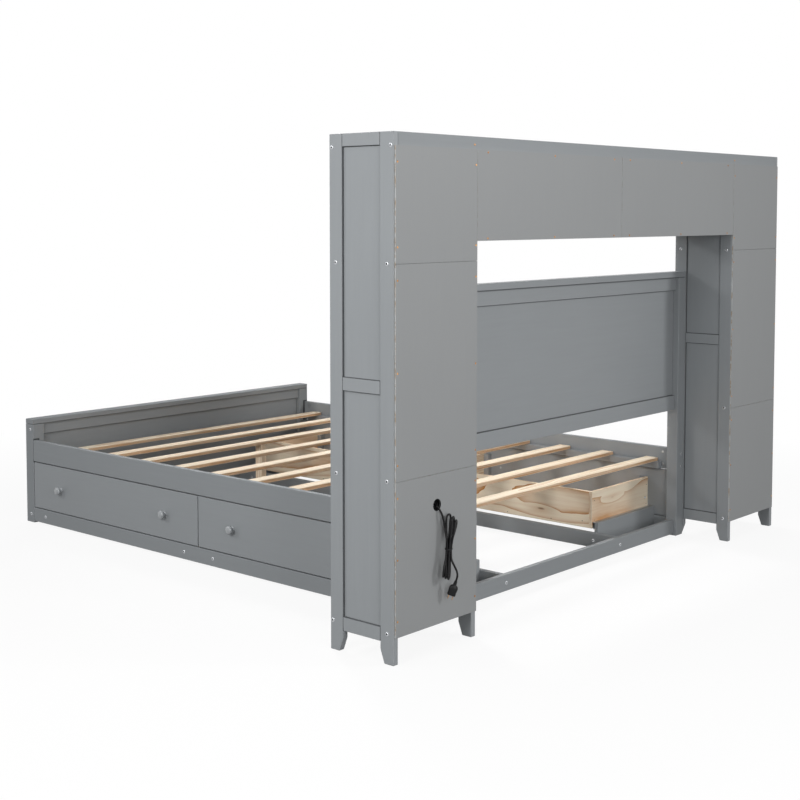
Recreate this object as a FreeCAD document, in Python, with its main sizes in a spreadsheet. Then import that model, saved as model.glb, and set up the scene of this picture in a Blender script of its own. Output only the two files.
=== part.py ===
import FreeCAD, Part
import math
import os
import re
import Sketcher

# Storage bed with a bookcase wall behind its headboard. Millimetres, +Z up.
# +Y points from the footboard to the wall, +X to the tower that holds the outlet.
# The origin is the centre of the footprint, on the floor.

os.makedirs("parts", exist_ok=True)
doc = FreeCAD.newDocument("StorageBed")
sheet = doc.addObject("Spreadsheet::Sheet", "Sizes")
places = doc.addObject("App::VarSet", "Places")
owners = {}
nodes = []

bed_frame = {
    "mattress_space_width": 1538,  # between the side rails
    "mattress_space_length": 2050,  # from footboard posts to headboard posts
    "floor_gap": 7,  # under every board that lies near the floor
    "edge_ease": 1.5,  # eased edge of every painted board
    "low_board_tall": 55,  # low rails, floor rails and stretcher
    "side_rail_thick": 19,
    "upper_rail_low": 254,  # underside of the upper side rails
    "upper_rail_tall": 86,
    "floor_rail_thick": 20,
    "floor_rail_inner": 342,  # inner face of a floor rail from the middle
}
slat_sizes = {
    "ledge_thick": 22,
    "ledge_tall": 29,
    "ledge_end_gap": 41,  # from a ledge end to the posts
    "slat_width": 52,
    "slat_thick": 14,
    "slat_end_gap": 3,  # from a slat end to the side rail
    "slat_head_gap": 54,  # from the headboard posts to the first slat
    "slat_foot_gap": 67.5,  # from the last slat to the footboard posts
    "leg_wide": 28,  # middle leg under a slat, along the slat
    "leg_deep": 38,  # middle leg, across the slat
}
tower_sizes = {
    "tower_width": 370,
    "tower_depth": 244,  # without the back panels
    "tower_height": 1490,
    "side_thick": 20,  # framed side of a tower
    "stile_width": 50,
    "side_top_rail_tall": 37,
    "side_mid_rail_low": 760,
    "side_mid_rail_tall": 39,
    "side_foot_rail_low": 62,
    "side_foot_rail_tall": 41,
    "side_panel_thick": 6,
    "toe_width": 35,  # foot of a stile at the floor
    "toe_taper_tall": 40,
    "shelf_thick": 18,
    "bottom_shelf_mid": 87,  # height of the middle of the bottom shelf
    "lower_shelf_mid": 519,
    "upper_shelf_drop": 58,  # middle of the upper shelf below the bridge
    "top_rail_thick": 20,  # long rails across both towers
    "top_rail_tall": 75,
    "bridge_tall": 306,  # the bridge that joins the towers, with its top board
    "window_tall": 145,  # between the bridge and the headboard below it
    "back_thick": 4,
    "back_top_drop": 38,  # top edge of the back panels below the top
    "back_outer_inset": 6,  # outer edge of a back panel from the tower's side
    "back_joint": 1,  # seam between two back panels
}
headboard_sizes = {
    "head_post_wide": 48,
    "head_post_deep": 46,
    "head_cap_tall": 22,
    "head_rail_thick": 22,
    "head_rail_setback": 10,  # rail face behind the post face
    "head_top_rail_tall": 51,
    "head_low_rail_low": 498,
    "head_low_rail_tall": 58,
    "head_panel_thick": 6,
    "head_panel_setback": 6,  # panel face behind the rail face
    "stretcher_thick": 20,
    "stretcher_setback": 14,  # behind the post face
}
footboard_sizes = {
    "foot_post_wide": 52,
    "foot_post_tall": 405,
    "foot_cap_tall": 20,
    "foot_rail_thick": 22,
    "foot_rail_setback": 10,  # rail face behind the inner post face
    "foot_top_rail_tall": 45,
    "foot_panel_thick": 6,
    "foot_panel_setback": 10,  # panel face behind the rail face
}
drawer_sizes = {
    "front_gap": 4,  # round each drawer front
    "box_side_thick": 12,
    "box_low": 72,
    "box_tall": 141,
    "box_back_gap": 2,  # from a closed box to the floor rail
    "box_floor_thick": 4,
    "box_floor_rise": 12,  # box floor above the lower edge of the sides
    "corner_block": 24,
    "guide_thick": 16,
    "guide_tall": 91,
    "guide_inset": 79,  # middle of a guide board from the end of its bay
    "slide_room": 13,  # between a guide board and a box side
    "channel_wall": 1.2,
    "channel_deep": 10,
    "channel_tall": 24,  # channel on the box
    "channel_play": 0.3,  # between the nested channels
    "channel_end_gap": 4,  # channel on the guide board, at both ends
    "runner_end_gap": 8,  # channel on the box, at its back end
    "runner_front_gap": 17,  # channel on the box, behind the front
    "knob_inset": 185,  # knob from the end of the front
    "knob_reach": 27,
    "knob_head_dia": 32,
    "knob_head_thick": 17,
    "knob_stem_dia": 14,
}
fastener_sizes = {
    "bolt_head_dia": 12,
    "bolt_head_tall": 1.6,
    "socket_size": 5.8,  # across the corners of the hexagon
    "socket_deep": 1,
    "shelf_bolt_inset": 24,  # from the edge of the stile
    "toe_bolt_inset": 9.5,  # front bolt of the bottom shelf
    "rail_bolt_inset": 14,  # from the side of the post
    "rail_bolt_offset": 24,  # two bolts of one rail, about its middle
    "nut_inset": 34,  # cross nut from the end of a side rail
    "nut_dia": 10,
    "nut_tall": 0.6,
    "nail_dia": 6,
    "nail_tall": 0.6,
    "nail_inset": 7,  # from the edge of a back panel
    "nail_end_gap": 46,  # from the ends of a tower panel
    "bridge_nail_inset": 49,  # first nail of a bridge panel from its edge
    "top_nail_drop": 24,  # below the top of the wall
}
outlet_sizes = {
    "hole_dia": 35,  # lead hole in the lower back panel
    "hole_drop": 91,  # below the middle of the lower shelf
    "plate_wide": 140,
    "plate_deep": 66,
    "plate_thick": 3,
    "plate_ease": 1,
    "plate_back_gap": 23,  # from the plate to the back panel
    "housing_wide": 118,
    "housing_deep": 48,
    "housing_drop": 22,  # housing below the shelf
    "housing_room": 0.5,  # round the housing in the shelf
    "socket_spacing": 40,
    "blade_spacing": 12.7,
    "blade_wide": 6.4,
    "blade_thick": 1.5,
    "slot_room": 0.6,  # round a blade in its slot
    "gland_shift": 11,  # gland behind the middle of the housing
    "gland_long": 20,
    "gland_root_dia": 13,
    "gland_tip_dia": 8.4,
    "lead_dia": 6.2,
    "plug_neck_long": 14,
    "plug_neck_dia": 11,
    "plug_wide": 26,
    "plug_thick": 16,
    "plug_long": 30,
    "plug_round": 5,
    "blade_long": 12,
    "hank_half_long": 77,  # from the waist to the start of a half turn
    "hank_radius": 17,  # outermost run from the middle
    "hank_step": 7,  # between turns of one layer
    "hank_layer": 6.8,  # between the two layers
    "hank_draw_in": 4.8,  # by the tie at the waist
    "hank_leave": 17,  # straight run of the lead out of the waist
}
counts = {
    "slat_count": 10,
    "hank_run_count": 7,
}

groups = (
    ("Bed frame", bed_frame),
    ("Slats", slat_sizes),
    ("Towers", tower_sizes),
    ("Headboard", headboard_sizes),
    ("Footboard", footboard_sizes),
    ("Drawers", drawer_sizes),
    ("Fasteners", fastener_sizes),
    ("Outlet and lead", outlet_sizes),
    ("Counts", counts),
)
row = 1
for title, group in groups:
    sheet.set("A%d" % row, title)
    row += 1
    for alias, value in group.items():
        sheet.set("A%d" % row, alias)
        sheet.set("B%d" % row, str(value))
        sheet.setAlias("B%d" % row, alias)
        owners[alias] = "Sizes"
        row += 1
doc.recompute()


def bound(formula):
    """A formula with the owner written before each name in it."""
    return re.sub(r"[a-z]\w*", lambda found: owners[found.group()] + "." + found.group(), formula)


def place(name, formula):
    """A place that follows the sizes."""
    places.addProperty("App::PropertyFloat", name)
    places.setExpression(name, bound(formula))
    owners[name] = "Places"


def sided(side, low, high):
    """A pair of x formulas on the +X side, or mirrored to the -X side."""
    return (low, high) if side > 0 else ("-(%s)" % high, "-(%s)" % low)


def size(name):
    return float(sheet.get(name))


def block(name, x, y, z):
    """A plain box between three pairs of formulas."""
    box = doc.addObject("Part::Box", name)
    for length, axis, (low, high) in zip(("Length", "Width", "Height"), "xyz", (x, y, z)):
        box.setExpression("Placement.Base." + axis, bound(low))
        box.setExpression(length, bound("(%s) - (%s)" % (high, low)))
    return box


def board(name, x, y, z, ease_name="edge_ease"):
    """A box whose twelve edges are eased."""
    eased = doc.addObject("Part::Chamfer", name)
    eased.Base = block(name + "_block", x, y, z)
    ease = size(ease_name)
    eased.Edges = [(edge, ease, ease) for edge in range(1, 13)]
    return eased


def cut(name, base, tool):
    result = doc.addObject("Part::Cut", name)
    result.Base = base
    result.Tool = tool
    return result


def node(label, *pieces):
    """A sub-part: one object, or the compound of its separate solids."""
    if len(pieces) == 1:
        group = pieces[0]
    else:
        group = doc.addObject("Part::Compound", label)
        group.Links = list(pieces)
    group.Label = label
    nodes.append(group)
    return group


sides = (("left", 1), ("right", -1))

# Places along X, from the middle
place("rail_in", "mattress_space_width / 2")
place("rail_out", "rail_in + side_rail_thick")
place("tower_out", "rail_out + tower_width")
place("tower_mid", "rail_out + tower_width / 2")
place("bay_in", "rail_out + side_thick")
place("bay_out", "tower_out - side_thick")
place("head_post_in", "rail_out - head_post_wide")
place("foot_post_in", "rail_out - foot_post_wide")
place("floor_rail_out", "floor_rail_inner + floor_rail_thick")
place("floor_rail_mid", "floor_rail_inner + floor_rail_thick / 2")
place("box_back", "floor_rail_out + box_back_gap")

# Places along Y, from the footboard to the wall
place("wall_face", "(foot_post_wide + mattress_space_length + tower_depth + back_thick) / 2")
place("tower_back", "wall_face - back_thick")
place("tower_front", "tower_back - tower_depth")
place("foot_face", "tower_front - mattress_space_length")
place("foot_back", "foot_face - foot_post_wide")
place("head_post_back", "tower_front + head_post_deep")
place("head_rail_front", "tower_front + head_rail_setback")
place("head_panel_front", "head_rail_front + head_panel_setback")
place("stretcher_front", "tower_front + stretcher_setback")
place("foot_rail_front", "foot_face - foot_rail_setback")
place("foot_rail_back", "foot_rail_front - foot_rail_thick")
place("foot_panel_front", "foot_rail_front - foot_panel_setback")
place("top_rail_in_front", "tower_front + top_rail_thick")
place("top_rail_in_back", "tower_back - top_rail_thick")
place("drawer_split", "(tower_front + foot_face) / 2")
place("first_slat", "tower_front - slat_head_gap - slat_width / 2")
place("slat_pitch",
      "(mattress_space_length - slat_head_gap - slat_foot_gap - slat_width) / (slat_count - 1)")
place("outlet_mid", "tower_back - plate_back_gap - plate_deep / 2")

# Heights
place("low_board_top", "floor_gap + low_board_tall")
place("upper_rail_top", "upper_rail_low + upper_rail_tall")
place("slat_low", "upper_rail_low + ledge_tall")
place("top_rail_low", "tower_height - top_rail_tall")
place("top_rail_mid", "tower_height - top_rail_tall / 2")
place("top_board_low", "tower_height - shelf_thick")
place("back_top", "tower_height - back_top_drop")
place("bridge_low", "tower_height - bridge_tall")
place("bridge_shelf_top", "bridge_low + shelf_thick")
place("upper_shelf_mid", "bridge_low - upper_shelf_drop")
place("head_post_tall", "bridge_low - window_tall - head_cap_tall")
place("head_top_rail_low", "head_post_tall - head_top_rail_tall")
place("head_low_rail_top", "head_low_rail_low + head_low_rail_tall")
place("foot_top_rail_low", "foot_post_tall - foot_top_rail_tall")
place("front_low", "low_board_top + front_gap")
place("front_top", "upper_rail_low - front_gap")
place("front_mid", "(front_low + front_top) / 2")
place("box_top", "box_low + box_tall")
place("box_floor_low", "box_low + box_floor_rise")
place("box_floor_top", "box_floor_low + box_floor_thick")
place("guide_top", "floor_gap + guide_tall")
place("lower_shelf_low", "lower_shelf_mid - shelf_thick / 2")
place("lower_shelf_top", "lower_shelf_mid + shelf_thick / 2")
place("hole_mid", "lower_shelf_mid - hole_drop")
doc.recompute()


def stile(name, x, edge, inward):
    """A stile that tapers to its toe: a padded outline with eased edges.

    edge names the outer edge along Y, and inward is 1 or -1, towards the panel.
    """
    body = doc.addObject("PartDesign::Body", name)
    sketch = body.newObject("Sketcher::SketchObject", name + "_outline")
    planes = {item.Role: item for item in body.Origin.OriginFeatures}
    sketch.AttachmentSupport = [(planes["YZ_Plane"], "")]
    sketch.MapMode = "FlatFace"
    outline = [(None, None), ("toe_width", None), ("stile_width", "toe_taper_tall"),
               ("stile_width", "tower_height"), (None, "tower_height")]
    corners = []
    for width, height in outline:
        across = getattr(places, edge) + (inward * size(width) if width else 0)
        corners.append(FreeCAD.Vector(across, size(height) if height else 0, 0))
    count = len(corners)
    for index in range(count):
        sketch.addGeometry(Part.LineSegment(corners[index], corners[(index + 1) % count]), False)
    for index in range(count):
        sketch.addConstraint(Sketcher.Constraint("Coincident", index, 2, (index + 1) % count, 1))
    for index, (width, height) in enumerate(outline):
        number = sketch.addConstraint(
            Sketcher.Constraint("DistanceX", -1, 1, index, 1, corners[index].x))
        formula = "%s + %d * %s" % (edge, inward, width) if width else edge
        sketch.setExpression("Constraints[%d]" % number, bound(formula))
        if height:
            number = sketch.addConstraint(
                Sketcher.Constraint("DistanceY", -1, 1, index, 1, corners[index].y))
            sketch.setExpression("Constraints[%d]" % number, bound(height))
        else:
            sketch.addConstraint(Sketcher.Constraint("PointOnObject", index, 1, -1))
    pad = body.newObject("PartDesign::Pad", name + "_pad")
    pad.Profile = sketch
    pad.setExpression("Length", bound("(%s) - (%s)" % (x[1], x[0])))
    doc.recompute()
    ease = body.newObject("PartDesign::Chamfer", name + "_ease")
    ease.Base = (pad, [])
    ease.UseAllEdges = True
    ease.setExpression("Size", bound("edge_ease"))
    body.Tip = ease
    body.setExpression("Placement.Base.x", bound(x[0]))
    return body


def framed_side(name, x, notches):
    """Two stiles, three rails and two thin panels."""
    in_front = "tower_front + stile_width"
    in_back = "tower_back - stile_width"
    front = stile(name + "_front_stile", x, "tower_front", 1)
    back = stile(name + "_back_stile", x, "tower_back", -1)
    if notches:
        front = cut(name + "_front_stile_notched", front, notches[0])
        back = cut(name + "_back_stile_notched", back, notches[1])
    pieces = [front, back]
    mid_top = "side_mid_rail_low + side_mid_rail_tall"
    foot_top = "side_foot_rail_low + side_foot_rail_tall"
    top_low = "tower_height - side_top_rail_tall"
    for part, low, high in (
            ("top_rail", top_low, "tower_height"),
            ("mid_rail", "side_mid_rail_low", mid_top),
            ("foot_rail", "side_foot_rail_low", foot_top)):
        pieces.append(board("%s_%s" % (name, part), x, (in_front, in_back), (low, high)))
    panel_x = ("%s + (side_thick - side_panel_thick) / 2" % x[0],
               "%s + (side_thick + side_panel_thick) / 2" % x[0])
    for part, low, high in (
            ("upper_panel", mid_top, top_low),
            ("lower_panel", foot_top, "side_mid_rail_low")):
        pieces.append(block("%s_%s" % (name, part), panel_x, (in_front, in_back), (low, high)))
    return node(name, *pieces)


# Long rails across the top
top_front_rail = board("top_front_rail", ("-bay_out", "bay_out"),
                       ("tower_front", "top_rail_in_front"), ("top_rail_low", "tower_height"))
top_back_rail = board("top_back_rail", ("-bay_out", "bay_out"),
                      ("top_rail_in_back", "tower_back"), ("top_rail_low", "tower_height"))
node("top_front_rail", top_front_rail)
node("top_back_rail", top_back_rail)

# Towers
back_seams = ("bottom_shelf_mid - shelf_thick / 2", "lower_shelf_mid", "upper_shelf_mid",
              "back_top + back_joint")
for word, side in sides:
    tower = word + "_tower"
    framed_side(tower + "_outer_side", sided(side, "bay_out", "tower_out"), None)
    framed_side(tower + "_inner_side", sided(side, "rail_out", "bay_in"),
                (top_front_rail.Base, top_back_rail.Base))
    shelves = []
    for level in ("bottom", "lower", "upper"):
        mid = level + "_shelf_mid"
        shelves.append(board("%s_%s_shelf" % (tower, level), sided(side, "bay_in", "bay_out"),
                             ("tower_front", "tower_back"),
                             (mid + " - shelf_thick / 2", mid + " + shelf_thick / 2")))
    if word == "left":
        cutout = block("outlet_cutout",
                       ("tower_mid - housing_wide / 2 - housing_room",
                        "tower_mid + housing_wide / 2 + housing_room"),
                       ("outlet_mid - housing_deep / 2 - housing_room",
                        "outlet_mid + housing_deep / 2 + housing_room"),
                       ("lower_shelf_low - shelf_thick", "lower_shelf_top + shelf_thick"))
        shelves[1] = cut("left_tower_lower_shelf_cut", shelves[1], cutout)
    node(tower + "_shelves", *shelves)
    node(tower + "_top_board",
         board(tower + "_top_board", sided(side, "bay_in", "bay_out"),
               ("top_rail_in_front", "top_rail_in_back"), ("top_board_low", "tower_height")))
    panels = []
    for index in range(len(back_seams) - 1):
        panels.append(block("%s_back_%d" % (tower, index),
                            sided(side, "rail_out + back_joint", "tower_out - back_outer_inset"),
                            ("tower_back", "wall_face"),
                            (back_seams[index], back_seams[index + 1] + " - back_joint")))
    if word == "left":
        hole = doc.addObject("Part::Cylinder", "lead_hole")
        hole.setExpression("Radius", bound("hole_dia / 2"))
        hole.setExpression("Height", bound("3 * back_thick"))
        hole.Placement.Rotation = FreeCAD.Rotation(FreeCAD.Vector(1, 0, 0), -90)
        hole.setExpression("Placement.Base.x", bound("tower_mid"))
        hole.setExpression("Placement.Base.y", bound("tower_back - back_thick"))
        hole.setExpression("Placement.Base.z", bound("hole_mid"))
        panels[0] = cut("left_tower_back_holed", panels[0], hole)
    node(tower + "_back_panels", *panels)

# Bridge between the towers
node("bridge_bottom", board("bridge_bottom", ("-rail_out", "rail_out"),
                            ("tower_front", "tower_back"), ("bridge_low", "bridge_shelf_top")))
node("bridge_top", board("bridge_top", ("-rail_out", "rail_out"),
                         ("top_rail_in_front", "top_rail_in_back"),
                         ("top_board_low", "tower_height")))
divider = board("bridge_divider_whole", ("-shelf_thick / 2", "shelf_thick / 2"),
                ("tower_front", "tower_back"), ("bridge_shelf_top", "top_board_low"))
divider = cut("bridge_divider_front_cut", divider, top_front_rail.Base)
node("bridge_divider", cut("bridge_divider", divider, top_back_rail.Base))
node("bridge_back_panels",
     block("bridge_back_left", ("back_joint / 2", "rail_out"), ("tower_back", "wall_face"),
           ("bridge_low", "back_top")),
     block("bridge_back_right", ("-rail_out", "-back_joint / 2"), ("tower_back", "wall_face"),
           ("bridge_low", "back_top")))

# Headboard
head_rail_y = ("head_rail_front", "head_rail_front + head_rail_thick")
head_x = ("-head_post_in", "head_post_in")
node("headboard_posts",
     *[board("headboard_post_" + word, sided(side, "head_post_in", "rail_out"),
             ("tower_front", "head_post_back"), ("0", "head_post_tall"))
       for word, side in sides])
node("headboard_cap",
     board("headboard_cap", ("-rail_out", "rail_out"), ("tower_front", "head_post_back"),
           ("head_post_tall", "head_post_tall + head_cap_tall")))
node("headboard_rails",
     board("headboard_top_rail", head_x, head_rail_y, ("head_top_rail_low", "head_post_tall")),
     board("headboard_low_rail", head_x, head_rail_y, ("head_low_rail_low", "head_low_rail_top")))
node("headboard_panel",
     block("headboard_panel", head_x, ("head_panel_front", "head_panel_front + head_panel_thick"),
           ("head_low_rail_top", "head_top_rail_low")))
node("head_stretcher",
     board("head_stretcher", head_x, ("stretcher_front", "stretcher_front + stretcher_thick"),
           ("floor_gap", "low_board_top")))

# Footboard
foot_rail_y = ("foot_rail_back", "foot_rail_front")
foot_x = ("-foot_post_in", "foot_post_in")
node("footboard_posts",
     *[board("footboard_post_" + word, sided(side, "foot_post_in", "rail_out"),
             ("foot_back", "foot_face"), ("0", "foot_post_tall"))
       for word, side in sides])
node("footboard_cap",
     board("footboard_cap", ("-rail_out", "rail_out"), ("foot_back", "foot_face"),
           ("foot_post_tall", "foot_post_tall + foot_cap_tall")))
node("footboard_rails",
     board("footboard_top_rail", foot_x, foot_rail_y, ("foot_top_rail_low", "foot_post_tall")),
     board("footboard_low_rail", foot_x, foot_rail_y, ("floor_gap", "low_board_top")))
node("footboard_panel",
     block("footboard_panel", foot_x, ("foot_panel_front - foot_panel_thick", "foot_panel_front"),
           ("low_board_top", "foot_top_rail_low")))

# Side rails, ledges and floor rails
for word, side in sides:
    rail_x = sided(side, "rail_in", "rail_out")
    node(word + "_side_rail", board(word + "_side_rail", rail_x, ("foot_face", "tower_front"),
                                    ("upper_rail_low", "upper_rail_top")))
    node(word + "_low_rail", board(word + "_low_rail", rail_x, ("foot_face", "tower_front"),
                                   ("floor_gap", "low_board_top")))
node("slat_ledges",
     *[board("slat_ledge_" + word, sided(side, "rail_in - ledge_thick", "rail_in"),
             ("foot_face + ledge_end_gap", "tower_front - ledge_end_gap"),
             ("upper_rail_low", "slat_low"))
       for word, side in sides])
node("floor_rails",
     *[board("floor_rail_" + word, sided(side, "floor_rail_inner", "floor_rail_out"),
             ("foot_rail_front", "stretcher_front"), ("floor_gap", "low_board_top"))
       for word, side in sides])

# Slats and the two middle legs
slats = []
for index in range(int(size("slat_count"))):
    mid = "first_slat - %d * slat_pitch" % index
    slats.append(board("slat_%d" % index, ("slat_end_gap - rail_in", "rail_in - slat_end_gap"),
                       (mid + " - slat_width / 2", mid + " + slat_width / 2"),
                       ("slat_low", "slat_low + slat_thick")))
node("slats", *slats)
legs = []
for index in (2, int(size("slat_count")) - 3):
    mid = "first_slat - %d * slat_pitch" % index
    legs.append(board("slat_leg_%d" % index, ("-leg_wide / 2", "leg_wide / 2"),
                      (mid + " - leg_deep / 2", mid + " + leg_deep / 2"), ("0", "slat_low")))
node("slat_legs", *legs)


def channel(name, x, y, z, opens):
    """A C channel: a bar hollowed from the side that it opens to, + or - along Y."""
    hollow_y = ("%s + channel_wall" % y[0], "%s + channel_deep" % y[1])
    if opens == "-":
        hollow_y = ("%s - channel_deep" % y[0], "%s - channel_wall" % y[1])
    hollow = block(name + "_hollow", ("%s - channel_deep" % x[0], "%s + channel_deep" % x[1]),
                   hollow_y, ("%s + channel_wall" % z[0], "%s - channel_wall" % z[1]))
    return cut(name, block(name + "_bar", x, y, z), hollow)


# Drawers: each bay runs between a post and the split, with a guide board near each end
bays = (("head", "drawer_split", "tower_front", "drawer_split + front_gap / 2",
         "tower_front - front_gap"),
        ("foot", "foot_face", "drawer_split", "foot_face + front_gap",
         "drawer_split - front_gap / 2"))
outer_low = "box_low - channel_play - channel_wall"
outer_top = "box_low + channel_tall + channel_play + channel_wall"
guides = []
slides = []
knob_places = []
for word, side in sides:
    for bay, bay_low, bay_high, front_start, front_end in bays:
        drawer = "%s_%s_drawer" % (word, bay)
        low_face = "%s + guide_inset + guide_thick / 2" % bay_low
        high_face = "%s - guide_inset - guide_thick / 2" % bay_high
        guide_x = sided(side, "floor_rail_out", "rail_in")
        slide_x = sided(side, "floor_rail_out + channel_end_gap", "rail_in - channel_end_gap")
        for end, near, far, opens in (("low", low_face + " - guide_thick", low_face, "+"),
                                      ("high", high_face, high_face + " + guide_thick", "-")):
            guides.append(board("%s_guide_%s" % (drawer, end), guide_x, (near, far),
                                ("floor_gap", "guide_top")))
            slide_y = (far, far + " + channel_deep")
            if opens == "-":
                slide_y = (near + " - channel_deep", near)
            slides.append(channel("%s_slide_%s" % (drawer, end), slide_x, slide_y,
                                  (outer_low, outer_top), opens))
        box_start = low_face + " + slide_room"
        box_end = high_face + " - slide_room"
        inner_y = (box_start + " + box_side_thick", box_end + " - box_side_thick")
        box_x = sided(side, "box_back", "rail_in")
        block_x = sided(side, "rail_in - corner_block", "rail_in")
        node(drawer + "_front",
             board(drawer + "_front_board", sided(side, "rail_in", "rail_out"),
                   (front_start, front_end), ("front_low", "front_top")),
             board(drawer + "_block_low", block_x, (inner_y[0], inner_y[0] + " + corner_block"),
                   ("box_floor_top", "box_top")),
             board(drawer + "_block_high", block_x, (inner_y[1] + " - corner_block", inner_y[1]),
                   ("box_floor_top", "box_top")))
        pieces = [
            board(drawer + "_side_low", box_x, (box_start, inner_y[0]), ("box_low", "box_top")),
            board(drawer + "_side_high", box_x, (inner_y[1], box_end), ("box_low", "box_top")),
            board(drawer + "_back", sided(side, "box_back", "box_back + box_side_thick"),
                  inner_y, ("box_low", "box_top")),
            block(drawer + "_floor", sided(side, "box_back + box_side_thick", "rail_in"),
                  inner_y, ("box_floor_low", "box_floor_top")),
        ]
        node(drawer + "_box", *pieces)
        runner_x = sided(side, "box_back + runner_end_gap", "rail_in - runner_front_gap")
        runner_z = ("box_low", "box_low + channel_tall")
        node(drawer + "_runners",
             channel(drawer + "_runner_low", runner_x,
                     (box_start + " - channel_deep", box_start), runner_z, "-"),
             channel(drawer + "_runner_high", runner_x,
                     (box_end, box_end + " + channel_deep"), runner_z, "+"))
        knobs = []
        for end, mid in (("low", front_start + " + knob_inset"),
                         ("high", front_end + " - knob_inset")):
            stem = doc.addObject("Part::Cylinder", "%s_knob_stem_%s" % (drawer, end))
            stem.setExpression("Radius", bound("knob_stem_dia / 2"))
            stem.setExpression("Height", bound("knob_reach - knob_head_thick / 2"))
            head = doc.addObject("Part::Ellipsoid", "%s_knob_head_%s" % (drawer, end))
            head.setExpression("Radius1", bound("knob_head_thick / 2"))
            head.setExpression("Radius2", bound("knob_head_dia / 2"))
            head.setExpression("Radius3", bound("knob_head_dia / 2"))
            head.setExpression("Placement.Base.z", bound("knob_reach - knob_head_thick / 2"))
            knob = doc.addObject("Part::Fuse", "%s_knob_%s" % (drawer, end))
            knob.Base = stem
            knob.Tool = head
            knob.Placement.Rotation = FreeCAD.Rotation(FreeCAD.Vector(0, 1, 0), 90 * side)
            knob.setExpression("Placement.Base.x", bound("rail_out" if side > 0 else "-rail_out"))
            knob.setExpression("Placement.Base.y", bound(mid))
            knob.setExpression("Placement.Base.z", bound("front_mid"))
            knobs.append(knob)
        node(drawer + "_knobs", *knobs)
node("drawer_guides", *guides)
node("slide_channels", *slides)

# Heads of the bolts, cross nuts and nails. Each looks out along its own direction.
turns = {
    "+x": FreeCAD.Rotation(FreeCAD.Vector(0, 1, 0), 90),
    "-x": FreeCAD.Rotation(FreeCAD.Vector(0, 1, 0), -90),
    "+y": FreeCAD.Rotation(FreeCAD.Vector(1, 0, 0), -90),
    "-y": FreeCAD.Rotation(FreeCAD.Vector(1, 0, 0), 90),
}


def set_place(item, spot, direction):
    item.Placement.Rotation = turns[direction]
    for axis, formula in zip("xyz", spot):
        item.setExpression("Placement.Base." + axis, bound(formula))
    return item


def bolt(number, spot, direction):
    """A round head with a hexagon socket."""
    head = doc.addObject("Part::Cylinder", "bolt_head_%d" % number)
    head.setExpression("Radius", bound("bolt_head_dia / 2"))
    head.setExpression("Height", bound("bolt_head_tall"))
    socket = doc.addObject("Part::Prism", "bolt_socket_%d" % number)
    socket.Polygon = 6
    socket.setExpression("Circumradius", bound("socket_size / 2"))
    socket.setExpression("Height", bound("bolt_head_tall"))
    socket.setExpression("Placement.Base.z", bound("bolt_head_tall - socket_deep"))
    return set_place(cut("bolt_%d" % number, head, socket), spot, direction)


def disc(name, dia, tall, spot, direction):
    head = doc.addObject("Part::Cylinder", name)
    head.setExpression("Radius", bound(dia + " / 2"))
    head.setExpression("Height", bound(tall))
    return set_place(head, spot, direction)


guide_mids = [edge for bay in bays
              for edge in (bay[1] + " + guide_inset", bay[2] + " - guide_inset")]
upper_rail_mid = "upper_rail_low + upper_rail_tall / 2"
low_board_mid = "floor_gap + low_board_tall / 2"
bolt_spots = []
for sign, out, back in (("", "+x", "-x"), ("-", "-x", "+x")):
    for mid in ("lower_shelf_mid", "upper_shelf_mid"):
        for edge in ("tower_front + shelf_bolt_inset", "tower_back - shelf_bolt_inset"):
            bolt_spots.append(((sign + "tower_out", edge, mid), out))
    bolt_spots.append(((sign + "tower_out", "tower_front + toe_bolt_inset", "bottom_shelf_mid"), out))
    bolt_spots.append(((sign + "tower_out", "tower_back - shelf_bolt_inset", "bottom_shelf_mid"), out))
    bolt_spots.append(((sign + "tower_out", "tower_front + top_rail_thick / 2", "top_rail_mid"), out))
    bolt_spots.append(((sign + "tower_out", "tower_back - top_rail_thick / 2", "top_rail_mid"), out))
    for mid in ("bottom_shelf_mid", "lower_shelf_mid", "upper_shelf_mid"):
        bolt_spots.append(((sign + "rail_out", "tower_back - shelf_bolt_inset", mid), back))
    bolt_spots.append(((sign + "rail_out", "tower_front + shelf_bolt_inset", "upper_shelf_mid"), back))
    for mid in ("foot_top_rail_low + foot_top_rail_tall / 2", low_board_mid):
        bolt_spots.append(((sign + "rail_out", "(foot_rail_front + foot_rail_back) / 2", mid), out))
    post_x = "%s(rail_out - rail_bolt_inset)" % sign
    for shift in ("+", "-"):
        mid = "%s %s rail_bolt_offset" % (upper_rail_mid, shift)
        bolt_spots.append(((post_x, "head_post_back", mid), "+y"))
        bolt_spots.append(((post_x, "foot_back", mid), "-y"))
    bolt_spots.append(((sign + "floor_rail_mid", "stretcher_front + stretcher_thick",
                        low_board_mid), "+y"))
    bolt_spots.append(((sign + "floor_rail_mid", "foot_rail_back", low_board_mid), "-y"))
    for mid in guide_mids:
        bolt_spots.append(((sign + "rail_out", mid, low_board_mid), out))
        bolt_spots.append(((sign + "floor_rail_inner", mid, low_board_mid), back))
bolts = [bolt(number, spot, direction) for number, (spot, direction) in enumerate(bolt_spots)]
for sign, back in (("", "-x"), ("-", "+x")):
    for end in ("tower_front - nut_inset", "foot_face + nut_inset"):
        for shift in ("+", "-"):
            bolts.append(disc("cross_nut_%d" % len(bolts), "nut_dia", "nut_tall",
                              (sign + "rail_in", end,
                               "%s %s rail_bolt_offset" % (upper_rail_mid, shift)), back))
node("bolts", *bolts)

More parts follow.
